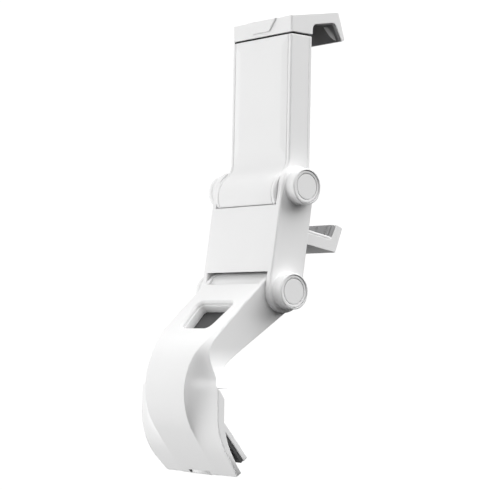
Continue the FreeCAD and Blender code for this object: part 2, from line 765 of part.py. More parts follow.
def hinge_nut(z):
    """Hexagon nut on the pin's plain end."""
    corner = NUT_FLATS / math.sqrt(3.0)
    turns = [math.radians(a) for a in range(0, 360, 60)]
    points = [(corner * math.cos(a), z + corner * math.sin(a)) for a in turns]
    nut = slab(polygon(points), -EAR_SEAT - NUT_T, -EAR_SEAT)
    return nut.cut(rod_x(PIN_R, -EAR_SEAT - NUT_T - 1.0, -EAR_SEAT + 1.0, 0, z))


def hinge_cap(z):
    """Round cap sunk in the right boss, with a raised disc on its face."""
    ring_x = BOSS_FACE - CAP_SUNK
    disc_x = ring_x + CAP_DISC_RISE
    points = [
        (CAP_SEAT, 0.0),
        (CAP_SEAT, CAP_R),
        (ring_x, CAP_R),
        (ring_x, CAP_DISC_R),
        (disc_x - CAP_BEVEL, CAP_DISC_R),
        (disc_x, CAP_DISC_R - CAP_BEVEL),
        (disc_x, 0.0),
    ]
    corners = [V(x, 0, r) for x, r in points]
    face = Part.Face(Part.makePolygon(corners + [corners[0]]))
    cap = face.revolve(V(0, 0, 0), V(1, 0, 0), 360)
    cap.translate(V(0, 0, z))
    return cap


def friction_washers(near, z):
    """Two discs in the gap between a knuckle and the ears."""
    gap = (EAR_INNER - near) * 0.1
    disc = rod_x(WASHER_R, near + gap, EAR_INNER - gap, 0, z)
    disc = disc.cut(rod_x(PIN_R + PIN_CLEARANCE, near - 1.0, EAR_INNER + 1.0, 0, z))
    return group([disc, mirrored(disc)])


# Centre of the dip where the clamp's front turns forward over the hinge
DIP_Y = CLAMP_FRONT - DIP_R
DIP_Z = BULGE_Z + math.sqrt((DIP_R + BULGE_R) ** 2 - (BULGE_Y - DIP_Y) ** 2)
DIP_TURN = math.degrees(math.atan2(DIP_Z - BULGE_Z, BULGE_Y - DIP_Y))
LIP_ANGLE = 180.0 + math.degrees(math.asin((BULGE_Z - LIP_Z) / BULGE_R))
BULGE_TURN = LIP_ANGLE - (180.0 - DIP_TURN)
HOUSING_BACK = BACK_Y - BACK_PLATE_T


def clamp_front(inset):
    """Front outline of the clamp from its top to the lip, moved inwards by inset."""
    path = Path(CLAMP_FRONT + inset, CLAMP_TOP, 270.0)
    path.line(CLAMP_TOP - DIP_Z)
    return path.arc(DIP_R + inset, -DIP_TURN).arc(BULGE_R - inset, BULGE_TURN)


def clamp_body_face():
    """Side outline of the housing."""
    path = clamp_front(0.0)
    lip = path.point
    chord = -math.sqrt(CLAMP_KNUCKLE_R ** 2 - lip.z ** 2)
    path.to(chord, lip.z)
    start = 180.0 + math.degrees(math.atan2(-lip.z, -chord))
    end = 360.0 - math.degrees(math.acos(HOUSING_BACK / CLAMP_KNUCKLE_R))
    path.heading = start + 90.0
    path.arc(CLAMP_KNUCKLE_R, end - start)
    path.to(HOUSING_BACK, CLAMP_TOP).to(CLAMP_FRONT, CLAMP_TOP)
    return face_from(path.edges)


def cover_face():
    """Side outline of the front cover."""
    outer = clamp_front(0.0)
    inner = clamp_front(COVER_T)
    ends = [
        Part.makeLine(V(0, CLAMP_FRONT, CLAMP_TOP), V(0, CLAMP_FRONT + COVER_T, CLAMP_TOP)),
        Part.makeLine(outer.point, inner.point),
    ]
    return face_from(outer.edges + inner.edges + ends)


def clamp_screw_places():
    """Places of the back plate's screws."""
    return [(x, z) for x in (-CLAMP_SCREW_X, CLAMP_SCREW_X) for z in (CLAMP_SCREW_LOW, CLAMP_SCREW_TOP)]


def clamp_housing():
    """Housing with the hinge knuckle, the rods' slots and the springs' pegs."""
    body = slab(clamp_body_face(), -CLAMP_HALF, CLAMP_HALF)

    def on_front_edge(p):
        return abs(abs(p.x) - CLAMP_HALF) < 0.01 and p.y < CLAMP_FRONT + 0.01 and p.z > LIP_Z - 0.01

    body = body.makeChamfer(EDGE_BEVEL, edges_where(body, on_front_edge))
    body = body.cut(slab(cover_face(), -COVER_HALF - COVER_GAP, COVER_HALF + COVER_GAP))
    guide_low = CLAMP_TOP - GUIDE_T
    body = body.cut(block(-CAVITY_HALF, CAVITY_HALF, CAVITY_FRONT, BACK_Y, CAVITY_FLOOR, guide_low))
    for x in (-SPRING_X, SPRING_X):
        body = body.fuse(rod_z(PEG_R, x, ROD_Y, CAVITY_FLOOR - 0.5, CAVITY_FLOOR + PEG_LENGTH))
    bore = ROD_R + PIN_CLEARANCE
    for x in (-ROD_X, ROD_X):
        body = body.cut(rod_z(bore, x, ROD_Y, guide_low - 1.0, CLAMP_TOP + 1.0))
        body = body.cut(block(x - bore, x + bore, ROD_Y, BACK_Y, guide_low - 1.0, CLAMP_TOP + 1.0))
    for x, z in clamp_screw_places():
        depth = CLAMP_SCREW_GRIP + PILOT_EXTRA
        body = body.cut(rod_y(SCREW_R, x, z, HOUSING_BACK - depth, HOUSING_BACK + 1.0))
    return body.cut(knuckle_bore(CLAMP_HALF, 0.0, 0.0))


def clamp_front_cover():
    """Front cover with a faintly raised middle panel."""
    cover = slab(cover_face(), -COVER_HALF, COVER_HALF)
    margin = COVER_HALF - FACET_HALF

    def ring(half, low, high, y):
        corners = [V(-half, y, low), V(half, y, low), V(half, y, high), V(-half, y, high)]
        return Part.makePolygon(corners + [corners[0]])

    low = DIP_Z + 1.0
    high = CLAMP_TOP - 0.9
    base = ring(COVER_HALF - 0.3, low, high, CLAMP_FRONT)
    top = ring(FACET_HALF, low + margin, high - margin, CLAMP_FRONT - FACET)
    return cover.fuse(Part.makeLoft([base, top], True, True))


def clamp_back_plate():
    """Rear plate with the fixed lower claw and two keepers that close the rods' slots."""
    plate = block(-CLAMP_HALF, CLAMP_HALF, HOUSING_BACK, BACK_Y, CLAW_ROOT_Z, CLAMP_TOP)
    face = polygon(
        [
            (HOUSING_BACK, CLAW_FLOOR_Z),
            (BACK_Y, CLAW_FLOOR_Z),
            CLAW_CORNER,
            CLAW_LIP,
            CLAW_TIP,
            CLAW_HEEL,
            (BACK_Y, CLAW_ROOT_Z),
            (HOUSING_BACK, CLAW_ROOT_Z),
        ]
    )
    claw = slab(face, -CLAMP_HALF, CLAMP_HALF)

    def near(point):
        return lambda p: abs(p.y - point[0]) < 0.02 and abs(p.z - point[1]) < 0.02

    claw = claw.makeFillet(CLAW_ROUND, edges_where(claw, near(CLAW_CORNER)))
    tip = edges_where(claw, near(CLAW_TIP)) + edges_where(claw, near(CLAW_LIP))
    claw = claw.makeFillet(CLAW_TIP_ROUND, tip)
    claw = claw.makeFillet(CLAW_HEEL_ROUND, edges_where(claw, near(CLAW_HEEL)))
    plate = plate.fuse(claw).removeSplitter()
    for x in (-ROD_X, ROD_X):
        half = ROD_R - KEEPER_GAP
        front = ROD_Y + ROD_R + KEEPER_GAP
        plate = plate.fuse(block(x - half, x + half, front, HOUSING_BACK, CLAMP_TOP - GUIDE_T, CLAMP_TOP))
    plate = plate.cut(back_pad()).cut(claw_pad())
    for x, z in clamp_screw_places():
        plate = plate.cut(rod_y(SCREW_R, x, z, HOUSING_BACK - 1.0, BACK_Y + 1.0))
        plate = plate.cut(rod_y(SCREW_HEAD_R + FIT_GAP, x, z, BACK_Y - SCREW_HEAD_T, BACK_Y + 1.0))
    return plate


def clamp_screws():
    """Four screws through the back plate into the housing."""
    seat = BACK_Y - SCREW_HEAD_T
    length = BACK_PLATE_T - SCREW_HEAD_T + CLAMP_SCREW_GRIP
    return group([screw_y(x, z, seat, -1, length) for x, z in clamp_screw_places()])


def back_pad():
    """Rubber sheet that the phone's back lies on."""
    y1 = BACK_Y + PAD_PROUD
    pad = block(-BACK_PAD_HALF, BACK_PAD_HALF, y1 - PAD_T, y1, BACK_PAD_LOW, BACK_PAD_TOP)
    corners = [e for e in pad.Edges if e.BoundBox.YLength > PAD_T - 0.01]
    return pad.makeFillet(2.0, corners)


def claw_pad():
    """Rubber let into the inside of the claw's lip, with three ribs."""
    lip = V(0, CLAW_LIP[0], CLAW_LIP[1])
    corner = V(0, CLAW_CORNER[0], CLAW_CORNER[1])
    along = (corner - lip).normalize()
    length = (corner - lip).Length
    inward = V(0, along.z, -along.y)
    start = lip + along * CLAW_PAD_TOP + inward * CLAW_PAD_PROUD
    end = corner - along * CLAW_PAD_LOW + inward * CLAW_PAD_PROUD
    depth = inward * -CLAW_PAD_T
    corners = [start, end, end + depth, start + depth]
    pad = slab(polygon([(p.y, p.z) for p in corners]), -CLAW_PAD_HALF, CLAW_PAD_HALF)
    for share in (0.3, 0.5, 0.7):
        spot = lip + along * (length * share) + inward * CLAW_PAD_PROUD
        pad = pad.fuse(rod_x(CLAW_RIB_R, -CLAW_PAD_HALF, CLAW_PAD_HALF, spot.y, spot.z))
    return pad.removeSplitter()


def jaw_face():
    """Side outline of the jaw's hook."""
    low = CLAMP_TOP + JAW_GAP
    return polygon(
        [
            (CLAMP_FRONT, low),
            (CLAMP_FRONT, JAW_TOP_FRONT_Z),
            JAW_TOP_REAR,
            JAW_HEEL,
            JAW_LIP,
            JAW_CEILING_REAR,
            JAW_CEILING_FRONT,
            (JAW_WALL_Y, low),
        ]
    )


def jaw_hook():
    """Hook of the sliding jaw."""
    hook = slab(jaw_face(), -CLAMP_HALF, CLAMP_HALF)

    def near(point):
        return lambda p: abs(p.y - point[0]) < 0.02 and abs(p.z - point[1]) < 0.02

    inner = edges_where(hook, near(JAW_CEILING_REAR)) + edges_where(hook, near(JAW_CEILING_FRONT))
    hook = hook.makeFillet(JAW_INNER_R, inner)
    outer = edges_where(hook, near(JAW_HEEL)) + edges_where(hook, near(JAW_TOP_REAR))
    hook = hook.makeFillet(JAW_OUTER_ROUND, outer)

    def on_front_edge(p):
        return abs(abs(p.x) - CLAMP_HALF) < 0.01 and p.y < CLAMP_FRONT + 0.01

    hook = hook.makeChamfer(EDGE_BEVEL, edges_where(hook, on_front_edge))
    hook = hook.cut(jaw_trim()).cut(jaw_pad())
    for x in (-ROD_X, ROD_X):
        hook = hook.cut(rod_z(ROD_R, x, ROD_Y, CLAMP_TOP, ROD_TOP_Z))
    return hook


def jaw_trim():
    """Raised trapezoid on the jaw's front, let in as deep as it stands out."""
    y0 = CLAMP_FRONT - TRIM_PROUD
    points = [
        V(-TRIM_LOW_HALF, y0, TRIM_LOW_Z),
        V(TRIM_LOW_HALF, y0, TRIM_LOW_Z),
        V(TRIM_TOP_HALF, y0, JAW_TOP_FRONT_Z),
        V(-TRIM_TOP_HALF, y0, JAW_TOP_FRONT_Z),
    ]
    face = Part.Face(Part.makePolygon(points + [points[0]]))
    return face.extrude(V(0, 2 * TRIM_PROUD, 0))


def jaw_room(grow):
    """Room inside the hook in side view, with round corners, grown towards the hook."""
    reach = (JAW_LIP[0] - JAW_CEILING_REAR[0]) / (JAW_CEILING_REAR[1] - JAW_LIP[1])
    low = CLAMP_TOP - 6.0
    lip_low = (JAW_LIP[0] + reach * (JAW_LIP[1] - low), low)
    room = polygon([(JAW_WALL_Y, low), JAW_CEILING_FRONT, JAW_CEILING_REAR, lip_low])
    return room.makeOffset2D(-JAW_INNER_R).makeOffset2D(JAW_INNER_R + grow)


def jaw_pad():
    """Rubber that lines the hook's ceiling and lip in one piece, let in and standing proud."""
    band = jaw_room(JAW_PAD_T - JAW_PAD_PROUD).cut(jaw_room(-JAW_PAD_PROUD))
    pad = slab(band, -JAW_PAD_HALF, JAW_PAD_HALF)
    low = JAW_LIP[1] + JAW_PAD_LOW
    half = JAW_PAD_HALF + 1.0
    return pad.common(block(-half, half, JAW_PAD_Y, JAW_HEEL[0] + 5.0, low, JAW_TOP_REAR[1]))


def slide_rods():
    """Two rods fixed in the jaw, tapped at their lower ends."""
    rods = []
    for x in (-ROD_X, ROD_X):
        rod = rod_z(ROD_R, x, ROD_Y, CROSSHEAD_Z, ROD_TOP_Z)
        depth = ROD_SCREW_GRIP + PILOT_EXTRA
        rods.append(rod.cut(rod_z(SCREW_R, x, ROD_Y, CROSSHEAD_Z - 1.0, CROSSHEAD_Z + depth)))
    return group(rods)


def slide_crosshead():
    """Bar that ties the rods' lower ends and carries the springs' upper pegs."""
    half = CAVITY_HALF - CROSSHEAD_GAP
    y0 = CAVITY_FRONT + CROSSHEAD_GAP
    y1 = HOUSING_BACK - CROSSHEAD_GAP
    bar = block(-half, half, y0, y1, CROSSHEAD_Z, CROSSHEAD_Z + CROSSHEAD_T)
    for x in (-SPRING_X, SPRING_X):
        bar = bar.fuse(rod_z(PEG_R, x, ROD_Y, CROSSHEAD_Z - PEG_LENGTH, CROSSHEAD_Z + 0.5))
    for x in (-ROD_X, ROD_X):
        bar = bar.cut(rod_z(ROD_R, x, ROD_Y, CROSSHEAD_Z - 1.0, CROSSHEAD_Z + CROSSHEAD_T + 1.0))
    return bar


def rod_screws():
    """Two screws up into the rods; their heads hold the crosshead."""
    screws = []
    for x in (-ROD_X, ROD_X):
        head = rod_z(ROD_R + 0.6, x, ROD_Y, CROSSHEAD_Z - SCREW_HEAD_T, CROSSHEAD_Z)
        screws.append(head.fuse(rod_z(SCREW_R, x, ROD_Y, CROSSHEAD_Z, CROSSHEAD_Z + ROD_SCREW_GRIP)))
    return group(screws)


def jaw_spring(x):
    """Tension spring between a peg of the housing and a peg of the crosshead."""
    low = CAVITY_FLOOR + FIT_GAP + SPRING_WIRE_R
    height = CROSSHEAD_Z - CAVITY_FLOOR - 2.0 * (FIT_GAP + SPRING_WIRE_R)
    helix = Part.makeHelix(height / SPRING_TURNS, height, SPRING_R)
    ring = Part.Wire(Part.makeCircle(SPRING_WIRE_R, V(SPRING_R, 0, 0), V(0, 1, 0)))
    spring = Part.Wire(helix).makePipeShell([ring], True, True)
    spring.translate(V(x, ROD_Y, low))
    return spring


def at_link(shape):
    """Place a piece built about the upper hinge on the leaning link."""
    placed = shape.copy()
    placed.rotate(V(0, 0, 0), V(1, 0, 0), -LINK_LEAN)
    placed.translate(UPPER_HINGE)
    return placed


def at_clamp(shape):
    """Place a piece built about the upper hinge on the upright clamp."""
    placed = shape.copy()
    placed.translate(UPPER_HINGE)
    return placed


def bracket_pieces():
    shell, core = bracket_shell()
    return {
        "bracket_shell": shell,
        "bracket_liner": bracket_liner(),
        "seat_pad": seat_pad(),
        "tongue_pad": tongue_pad(),
        "hook_pad": hook_pad(core),
        "liner_screws": group(liner_screws()),
        "lower_bushes": bushes(ARM_HALF, LOWER_HINGE_Y, LOWER_HINGE_Z),
    }


def link_pieces():
    low = -HINGE_PITCH
    pieces = {
        "link_shell": link_shell(),
        "link_back_cover": link_back_cover(),
        "link_screws": link_screws(),
        "upper_hinge_pin": hinge_pin(0.0),
        "lower_hinge_pin": hinge_pin(low),
        "upper_hinge_nut": hinge_nut(0.0),
        "lower_hinge_nut": hinge_nut(low),
        "upper_cap_right": hinge_cap(0.0),
        "upper_cap_left": mirrored(hinge_cap(0.0)),
        "lower_cap_right": hinge_cap(low),
        "lower_cap_left": mirrored(hinge_cap(low)),
        "upper_friction_washers": friction_washers(CLAMP_HALF, 0.0),
        "lower_friction_washers": friction_washers(ARM_HALF, low),
    }
    return {name: at_link(shape) for name, shape in pieces.items()}


def clamp_pieces():
    pieces = {
        "clamp_housing": clamp_housing(),
        "clamp_front_cover": clamp_front_cover(),
        "clamp_back_plate": clamp_back_plate(),
        "back_pad": back_pad(),
        "claw_pad": claw_pad(),
        "clamp_screws": clamp_screws(),
        "upper_bushes": bushes(CLAMP_HALF, 0.0, 0.0),
        "jaw_hook": jaw_hook(),
        "jaw_trim": jaw_trim(),
        "jaw_pad": jaw_pad(),
        "slide_rods": slide_rods(),
        "slide_crosshead": slide_crosshead(),
        "rod_screws": rod_screws(),
        "jaw_spring_left": jaw_spring(-SPRING_X),
        "jaw_spring_right": jaw_spring(SPRING_X),
    }
    return {name: at_clamp(shape) for name, shape in pieces.items()}


os.makedirs("parts", exist_ok=True)
for pieces in (bracket_pieces(), link_pieces(), clamp_pieces()):
    for name, shape in pieces.items():
        shape.exportStep("parts/" + name + ".step")
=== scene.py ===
"""Dress, light and frame the controller phone clip on its fixed CAD model."""

import json
import logging
import math
from dataclasses import dataclass, field
from enum import Enum
from typing import Optional, Sequence, Union

import bmesh
import bpy
from mathutils import Matrix, Vector


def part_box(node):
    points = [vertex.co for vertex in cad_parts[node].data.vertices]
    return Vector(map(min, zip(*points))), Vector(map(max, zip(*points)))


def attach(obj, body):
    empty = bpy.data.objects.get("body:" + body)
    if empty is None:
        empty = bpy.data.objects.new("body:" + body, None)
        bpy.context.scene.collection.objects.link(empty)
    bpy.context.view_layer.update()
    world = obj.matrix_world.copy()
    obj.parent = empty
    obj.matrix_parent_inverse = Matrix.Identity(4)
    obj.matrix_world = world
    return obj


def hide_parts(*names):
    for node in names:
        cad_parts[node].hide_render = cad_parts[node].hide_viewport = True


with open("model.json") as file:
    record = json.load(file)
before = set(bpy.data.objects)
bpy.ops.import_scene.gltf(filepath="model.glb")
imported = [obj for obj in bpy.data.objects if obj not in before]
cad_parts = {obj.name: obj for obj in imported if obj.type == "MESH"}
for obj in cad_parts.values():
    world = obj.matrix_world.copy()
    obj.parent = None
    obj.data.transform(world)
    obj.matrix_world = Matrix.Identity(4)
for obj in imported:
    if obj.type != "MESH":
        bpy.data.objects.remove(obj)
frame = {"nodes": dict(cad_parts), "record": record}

LOG = logging.getLogger("clip")
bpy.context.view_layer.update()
MM = 0.001
IMAGE_SIZE = 490
FULL_TURN = 2.0 * math.pi
TURN_STEPS = 72
ROUNDED_ABOVE = math.radians(30.0)
SMOOTH_BELOW = math.radians(50.0)

Operand = Union["Signal", int, float]
Triple = tuple[float, float, float]
Colour = Triple
Point = tuple[float, float]
Outline = tuple[Point, ...]


class Slot(Enum):
    """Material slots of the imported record."""

    WHITE = "white_plastic"
    RUBBER = "grey_rubber"
    STEEL = "steel"
    BRASS = "brass"
    DISC = "friction_disc"
    BLACK = "black_plastic"


class Body(Enum):
    """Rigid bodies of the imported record."""

    BRACKET = "bracket"
    LINK = "link"
    CLAMP = "clamp"
    JAW = "jaw"


class Signal:
    """A node socket that can be used in Python arithmetic."""

    def __init__(self, tree: bpy.types.NodeTree, socket: Optional[bpy.types.NodeSocket]) -> None:
        """Wrap one output socket of a node tree, or None for a node that closes the tree."""
        self.tree = tree
        self.socket = socket

    def _maths(self, operation: str, first: Operand, second: Operand, clamp: bool = False) -> "Signal":
        """Add a Math node.

        Args:
            operation: the Math node's operation.
            first: a signal or number for the first input.
            second: a signal or number for the second input.
            clamp: whether the result is kept between 0 and 1.

        Returns:
            The result as a signal.
        """
        node = self.tree.nodes.new("ShaderNodeMath")
        node.operation = operation
        node.use_clamp = clamp
        for index, value in enumerate((first, second)):
            if isinstance(value, Signal):
                self.tree.links.new(value.socket, node.inputs[index])
            else:
                node.inputs[index].default_value = float(value)
        return Signal(self.tree, node.outputs[0])

    def __add__(self, other: Operand) -> "Signal":
        """Sum."""
        return self._maths("ADD", self, other)

    def __radd__(self, other: Operand) -> "Signal":
        """Sum with a number on the left."""
        return self._maths("ADD", other, self)

    def __sub__(self, other: Operand) -> "Signal":
        """Difference."""
        return self._maths("SUBTRACT", self, other)

    def __rsub__(self, other: Operand) -> "Signal":
        """Difference from a number on the left."""
        return self._maths("SUBTRACT", other, self)

    def __mul__(self, other: Operand) -> "Signal":
        """Product."""
        return self._maths("MULTIPLY", self, other)

    def __rmul__(self, other: Operand) -> "Signal":
        """Product with a number on the left."""
        return self._maths("MULTIPLY", other, self)

    def clamped(self) -> "Signal":
        """Keep between 0 and 1."""
        return self._maths("ADD", self, 0.0, clamp=True)

    def swing(self, span: float) -> "Signal":
        """Turn a height between 0 and 1 into a swing of this span round zero."""
        return (self - 0.5) * span


Value = Union[Signal, float, int, Sequence[float]]


class NodeBench:
    """Builds one node tree."""

    def __init__(self, tree: bpy.types.NodeTree) -> None:
        """Clear a node tree and keep it to be filled."""
        self.tree = tree
        tree.nodes.clear()

    def add(
        self,
        kind: str,
        settings: Optional[dict[str, object]] = None,
        inputs: Optional[dict[Union[str, int], Value]] = None,
        output: Union[str, int] = 0,
    ) -> Signal:
        """Add a node.

        Args:
            kind: the node's type name.
            settings: properties of the node, set before its sockets.
            inputs: values or signals by socket name or number.
            output: the output socket that is returned.

        Returns:
            The chosen output as a signal.
        """
        node = self.tree.nodes.new(kind)
        for name, value in (settings or {}).items():
            setattr(node, name, value)
        for name, value in (inputs or {}).items():
            if isinstance(value, Signal):
                self.tree.links.new(value.socket, node.inputs[name])
            else:
                node.inputs[name].default_value = value
        return Signal(self.tree, node.outputs[output] if node.outputs else None)

    def place(self) -> Signal:
        """The object's own coordinates, in metres."""
        return self.add("ShaderNodeTexCoord", output="Object")

    def noise(self, place: Signal, scale: float, detail: float = 2.0, roughness: float = 0.5) -> Signal:
        """Smooth noise between 0 and 1, with its bumps per metre, its octaves and their weight."""
        sockets = {"Vector": place, "Scale": scale, "Detail": detail, "Roughness": roughness}
        return self.add("ShaderNodeTexNoise", None, sockets)

    def blend(self, factor: Signal, first: Colour, second: Colour) -> Signal:
        """Mix two linear colours, from the first at factor 0 to the second at factor 1."""
        # Sockets 6 and 7 are the node's two colours, and its output 2 is the mixed one.
        sockets = {"Factor": factor, 6: (*first, 1.0), 7: (*second, 1.0)}
        return self.add("ShaderNodeMix", {"data_type": "RGBA"}, sockets, 2)

    def bump(self, height: Signal, strength: float, distance: float) -> Signal:
        """Normal bent by a height between 0 and 1, whose full step is a distance in metres."""
        sockets = {"Height": height, "Strength": strength, "Distance": distance}
        return self.add("ShaderNodeBump", None, sockets)

    def facing(self, way: Signal, direction: Triple) -> Signal:
        """Dot product of a direction or place signal with a fixed unit vector."""
        sockets = {0: way, 1: direction}
        return self.add("ShaderNodeVectorMath", {"operation": "DOT_PRODUCT"}, sockets, "Value")

    def eased(self, height: Signal, low: float, high: float, top: float) -> Signal:
        """Run smoothly from 0 to a top value while a signal rises from low to high, level outside."""
        sockets = {"Value": height, "From Min": low, "From Max": high, "To Min": 0.0, "To Max": top}
        return self.add("ShaderNodeMapRange", {"interpolation_type": "SMOOTHSTEP"}, sockets)

    def surface(self, inputs: dict[Union[str, int], Value]) -> None:
        """Finish the material with a Principled surface of these values and signals."""
        shader = self.add("ShaderNodeBsdfPrincipled", None, inputs)
        self.add("ShaderNodeOutputMaterial", None, {"Surface": shader})


def new_material(name: str) -> tuple[bpy.types.Material, NodeBench]:
    """Make an empty node material.

    Args:
        name: the material's name.

    Returns:
        The material and the bench that fills it.
    """
    material = bpy.data.materials.new(name)
    material.use_nodes = True
    return material, NodeBench(material.node_tree)


@dataclass(frozen=True)
class MouldedPlastic:
    """Satin moulded plastic with a faint grain and a slight unevenness of shade."""

    name: str
    light: Colour
    shade: Colour
    roughness: float = 0.42
    refraction: float = 1.46
    cloud_per_metre: float = 55.0
    cloud_roughness: float = 0.08
    grain_per_metre: float = 5200.0
    grain_roughness: float = 0.06
    grain_strength: float = 0.35
    grain_height: float = 6e-6

    def build(self) -> bpy.types.Material:
        """Build the material.

        Returns:
            The plastic, ready to be given to a mesh.
        """
        material, bench = new_material(self.name)
        place = bench.place()
        cloud = bench.noise(place, self.cloud_per_metre, detail=3.0)
        grain = bench.noise(place, self.grain_per_metre, roughness=0.6)
        unevenness = self.roughness + cloud.swing(self.cloud_roughness) + grain.swing(self.grain_roughness)
        bench.surface(
            {
                "Base Color": bench.blend(cloud, self.light, self.shade),
                "Roughness": unevenness,
                "IOR": self.refraction,
                "Normal": bench.bump(grain, self.grain_strength, self.grain_height),
            }
        )
        return material


@dataclass(frozen=True)
class MouldedRubber:
    """Matt rubber with a fine pebbled skin and a little dust."""

    name: str
    dark: Colour
    dusty: Colour
    roughness: float = 0.72
    refraction: float = 1.5
    pebble_per_metre: float = 2600.0
    pebble_roughness: float = 0.15
    pebble_strength: float = 0.7
    pebble_height: float = 2.5e-5
    dust_per_metre: float = 140.0
    dust_threshold: float = 0.42
    dust_gain: float = 2.2

    def build(self) -> bpy.types.Material:
        """Build the material.

        Returns:
            The rubber, ready to be given to a mesh.
        """
        material, bench = new_material(self.name)
        place = bench.place()
        pebble = bench.noise(place, self.pebble_per_metre, detail=1.0, roughness=0.4)
        cloud = bench.noise(place, self.dust_per_metre, detail=4.0)
        dust = (cloud - self.dust_threshold).clamped() * self.dust_gain
        bench.surface(
            {
                "Base Color": bench.blend(dust.clamped(), self.dark, self.dusty),
                "Roughness": self.roughness + pebble.swing(self.pebble_roughness),
                "IOR": self.refraction,
                "Normal": bench.bump(pebble, self.pebble_strength, self.pebble_height),
            }
        )
        return material


@dataclass(frozen=True)
class TurnedMetal:
    """Drawn or turned metal with fine lines and a slight tarnish."""

    name: str
    bright: Colour
    dull: Colour
    roughness: float = 0.3
    line_per_metre: float = 9000.0
    line_squeeze: float = 0.08
    line_roughness: float = 0.2
    line_strength: float = 0.25
    line_height: float = 4e-6
    tarnish_per_metre: float = 260.0

    def build(self) -> bpy.types.Material:
        """Build the material.

        Returns:
            The metal, ready to be given to a mesh.
        """
        material, bench = new_material(self.name)
        scale = (1.0, self.line_squeeze, self.line_squeeze)
        stretched = bench.add("ShaderNodeMapping", None, {"Vector": bench.place(), "Scale": scale})
        lines = bench.noise(stretched, self.line_per_metre, roughness=0.7)
        tarnish = bench.noise(bench.place(), self.tarnish_per_metre, detail=3.0)
        bench.surface(
            {
                "Base Color": bench.blend(tarnish, self.bright, self.dull),
                "Metallic": 1.0,
                "Roughness": self.roughness + lines.swing(self.line_roughness),
                "Normal": bench.bump(lines, self.line_strength, self.line_height),
            }
        )
        return material


@dataclass(frozen=True)
class PaintedShadePlastic:
    """White moulding with painted shade, darkening along one direction, as in the hollow of the jaw's liner.
    """

    name: str
    light: Colour
    dark: Colour
    way: Triple
    start: float
    end: float
    roughness: float = 0.5
    grain_per_metre: float = 5200.0
    grain_roughness: float = 0.1
    grain_strength: float = 0.35
    grain_height: float = 6e-6

    def build(self) -> bpy.types.Material:
        """Build the material.

        Returns:
            The plastic, ready to be given to a mesh.
        """
        material, bench = new_material(self.name)
        place = bench.place()
        # Painted shade: the colour runs from light to dark along one direction, standing in for the shade
        # inside the hook.
        depth = bench.eased(bench.facing(place, self.way), self.start, self.end, 1.0)
        grain = bench.noise(place, self.grain_per_metre, roughness=0.6)
        bench.surface(
            {
                "Base Color": bench.blend(depth, self.light, self.dark),
                "Roughness": self.roughness + grain.swing(self.grain_roughness),
                "Normal": bench.bump(grain, self.grain_strength, self.grain_height),
            }
        )
        return material


@dataclass(frozen=True)
class BackdropPaper:
    """Matt white paper under the object."""

    name: str = "backdrop_paper"
    white: float = 0.9
    shade_share: float = 0.99
    tone_per_metre: float = 3.0
    roughness: float = 0.9

    def build(self) -> bpy.types.Material:
        """Build the material.

        Returns:
            The paper, ready to be given to a mesh.
        """
        material, bench = new_material(self.name)
        tone = bench.noise(bench.place(), self.tone_per_metre)
        light = (self.white, self.white, self.white)
        grey = self.white * self.shade_share
        paper = bench.blend(tone, light, (grey, grey, grey))
        bench.surface({"Base Color": paper, "Roughness": self.roughness})
        return material


@dataclass
class Palette:
    """The finishes of the clip: one per material slot, and those of single pieces."""

    white: MouldedPlastic = MouldedPlastic("white_moulding", (0.83, 0.83, 0.83), (0.80, 0.80, 0.80))
    rubber: MouldedRubber = MouldedRubber("dark_rubber", (0.062, 0.062, 0.064), (0.085, 0.085, 0.085))
    steel: TurnedMetal = TurnedMetal("plain_steel", (0.62, 0.62, 0.64), (0.48, 0.48, 0.50))
    brass: TurnedMetal = TurnedMetal("turned_brass", (0.72, 0.52, 0.22), (0.55, 0.38, 0.15), 0.34)
    disc: MouldedPlastic = MouldedPlastic("fibre_disc", (0.16, 0.15, 0.14), (0.12, 0.115, 0.11), 0.7)
    black: MouldedPlastic = MouldedPlastic("black_moulding", (0.02, 0.02, 0.021), (0.013, 0.013, 0.014), 0.5)
    claw_rubber: MouldedRubber = MouldedRubber("light_rubber", (0.26, 0.26, 0.265), (0.31, 0.31, 0.31))
    jaw_rubber: MouldedRubber = MouldedRubber("mid_rubber", (0.185, 0.185, 0.189), (0.215, 0.215, 0.215))
    # Dark rubber laid in the gap under the jaw: painted shade.
    gap_shade_rubber: MouldedRubber = MouldedRubber("gap_shade_rubber", (0.05, 0.05, 0.052), (0.07, 0.07, 0.07))
    # A lighter copy of the white moulding, a painted highlight for the notch's shelf.
    bright: MouldedPlastic = MouldedPlastic("painted_highlight_moulding", (0.90, 0.90, 0.90), (0.88, 0.88, 0.88))
    made: dict[Slot, bpy.types.Material] = field(default_factory=dict)

    def build(self) -> None:
        """Build the finish of every slot once."""
        finishes = {
            Slot.WHITE: self.white,
            Slot.RUBBER: self.rubber,
            Slot.STEEL: self.steel,
            Slot.BRASS: self.brass,
            Slot.DISC: self.disc,
            Slot.BLACK: self.black,
        }
        for slot, finish in finishes.items():
            self.made[slot] = finish.build()
            LOG.info("finish %s for slot %s", finish.name, slot.value)

    def dress(self, node: str, slot: Slot) -> None:
        """Give a CAD node its finish.

        Args:
            node: the node's name.
            slot: the record's material slot.
        """
        materials = frame["nodes"][node].data.materials
        materials.clear()
        materials.append(self.made[slot])


